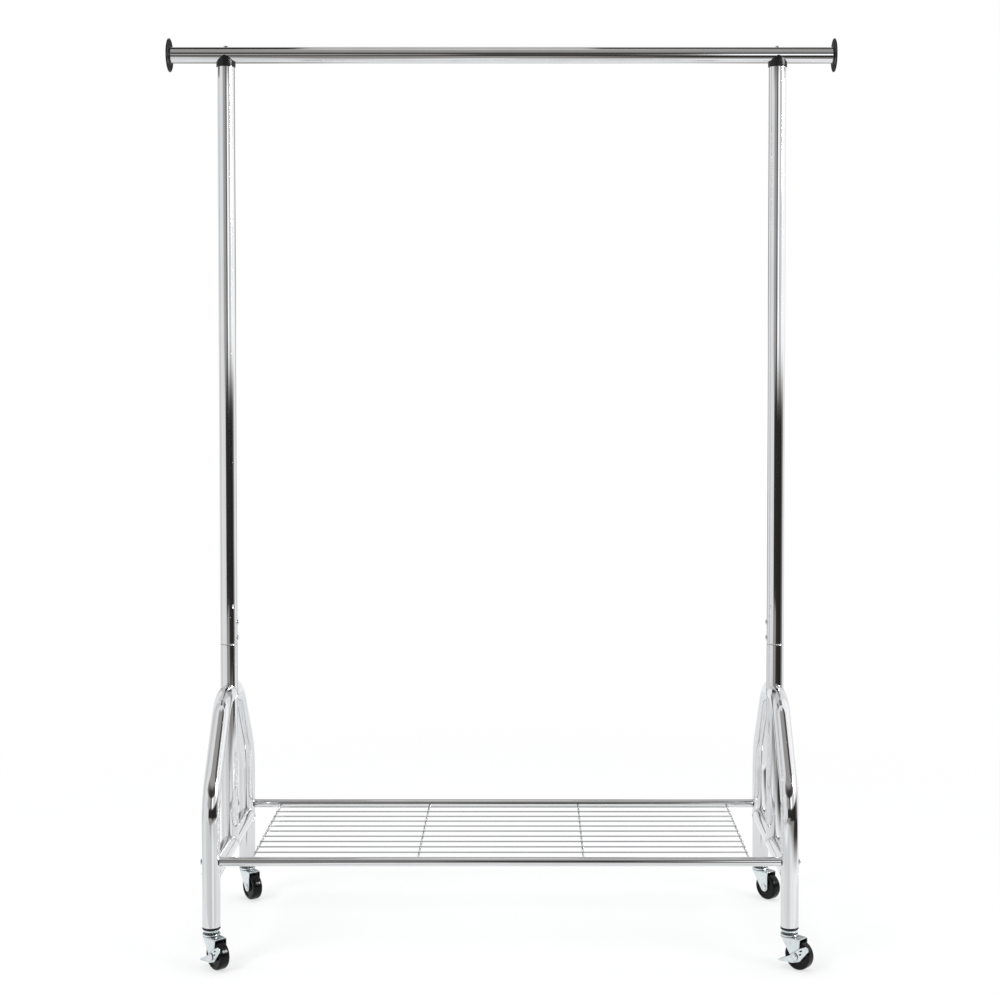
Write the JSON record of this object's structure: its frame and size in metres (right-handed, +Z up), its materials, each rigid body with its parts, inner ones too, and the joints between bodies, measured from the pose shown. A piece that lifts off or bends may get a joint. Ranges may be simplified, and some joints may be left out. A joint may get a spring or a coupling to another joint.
{
  "type": "rolling clothes rack",
  "caption": "Rolling clothes rack: round hang bar on two posts, bent-tube end frames, wire shelf and swivel casters, the front ones with brakes.",
  "frame": {"origin": "on the floor, under the middle of the hang bar", "axes": "+X along the hang bar to the right, +Y from front to rear, +Z up"},
  "size_m": [1.229, 0.4571, 1.659],
  "materials": {
    "chrome_tube": "polished",
    "zinc_plate": "bright zinc plating",
    "plain_steel": "plain",
    "ball_steel": "polished",
    "black_plastic": "semi gloss",
    "wheel_tread": "satin"
  },
  "bodies": {
    "rack": {"hang_bar": "chrome_tube", "hang_bar_bolts": "zinc_plate", "left_end_flange": "black_plastic", "right_end_flange": "black_plastic", "left_saddle": "black_plastic", "right_saddle": "black_plastic", "post_top_inserts": "plain_steel", "left_upper_post": "chrome_tube", "right_upper_post": "chrome_tube", "left_post_sleeve": "plain_steel", "right_post_sleeve": "plain_steel", "post_screws": "zinc_plate", "left_lower_post": "chrome_tube", "right_lower_post": "chrome_tube", "front_left_leg": "chrome_tube", "front_right_leg": "chrome_tube", "rear_left_leg": "chrome_tube", "rear_right_leg": "chrome_tube", "left_cross_bar": "chrome_tube", "right_cross_bar": "chrome_tube", "front_rail": "chrome_tube", "rear_rail": "chrome_tube", "rail_end_inserts": "plain_steel", "rail_bolts": "zinc_plate", "shelf_long_wires": "chrome_tube", "shelf_cross_wires": "chrome_tube", "caster_sockets": "black_plastic", "caster_stems": "zinc_plate"},
    "front_left_swivel": {"front_left_fork": "zinc_plate", "front_left_balls": "ball_steel", "front_left_axle": "zinc_plate", "front_left_bush": "plain_steel"},
    "front_left_roller": {"front_left_wheel": "wheel_tread"},
    "front_left_brake": {"front_left_brake_lever": "zinc_plate"},
    "front_right_swivel": {"front_right_fork": "zinc_plate", "front_right_balls": "ball_steel", "front_right_axle": "zinc_plate", "front_right_bush": "plain_steel"},
    "front_right_roller": {"front_right_wheel": "wheel_tread"},
    "front_right_brake": {"front_right_brake_lever": "zinc_plate"},
    "rear_left_swivel": {"rear_left_fork": "zinc_plate", "rear_left_balls": "ball_steel", "rear_left_axle": "zinc_plate", "rear_left_bush": "plain_steel"},
    "rear_left_roller": {"rear_left_wheel": "wheel_tread"},
    "rear_right_swivel": {"rear_right_fork": "zinc_plate", "rear_right_balls": "ball_steel", "rear_right_axle": "zinc_plate", "rear_right_bush": "plain_steel"},
    "rear_right_roller": {"rear_right_wheel": "wheel_tread"}
  },
  "joints": [
    {"name": "front_left_swivel_turn", "type": "hinge", "parent": "rack", "child": "front_left_swivel", "pos_m": [-0.509, -0.197, 0.0575], "axis": [0, 0, 1], "continuous": true},
    {"name": "front_left_wheel_roll", "type": "hinge", "parent": "front_left_swivel", "child": "front_left_roller", "pos_m": [-0.49495, -0.21261, 0.0254], "axis": [0.7431, 0.6691, 0], "continuous": true},
    {"name": "front_left_brake_release", "type": "hinge", "parent": "front_left_swivel", "child": "front_left_brake", "pos_m": [-0.49495, -0.21261, 0.0254], "axis": [0.7431, 0.6691, 0], "range_deg": [0, 25]},
    {"name": "front_right_swivel_turn", "type": "hinge", "parent": "rack", "child": "front_right_swivel", "pos_m": [0.509, -0.197, 0.0575], "axis": [0, 0, 1], "continuous": true},
    {"name": "front_right_wheel_roll", "type": "hinge", "parent": "front_right_swivel", "child": "front_right_roller", "pos_m": [0.52436, -0.21132, 0.0254], "axis": [0.682, 0.7314, 0], "continuous": true},
    {"name": "front_right_brake_release", "type": "hinge", "parent": "front_right_swivel", "child": "front_right_brake", "pos_m": [0.52436, -0.21132, 0.0254], "axis": [0.682, 0.7314, 0], "range_deg": [0, 25]},
    {"name": "rear_left_swivel_turn", "type": "hinge", "parent": "rack", "child": "rear_left_swivel", "pos_m": [-0.509, 0.197, 0.0575], "axis": [0, 0, 1], "continuous": true},
    {"name": "rear_left_wheel_roll", "type": "hinge", "parent": "rear_left_swivel", "child": "rear_left_roller", "pos_m": [-0.49636, 0.18023, 0.0254], "axis": [0.7986, 0.6018, 0], "continuous": true},
    {"name": "rear_right_swivel_turn", "type": "hinge", "parent": "rack", "child": "rear_right_swivel", "pos_m": [0.509, 0.197, 0.0575], "axis": [0, 0, 1], "continuous": true},
    {"name": "rear_right_wheel_roll", "type": "hinge", "parent": "rear_right_swivel", "child": "rear_right_roller", "pos_m": [0.5225, 0.18091, 0.0254], "axis": [0.766, 0.6428, 0], "continuous": true}
  ]
}
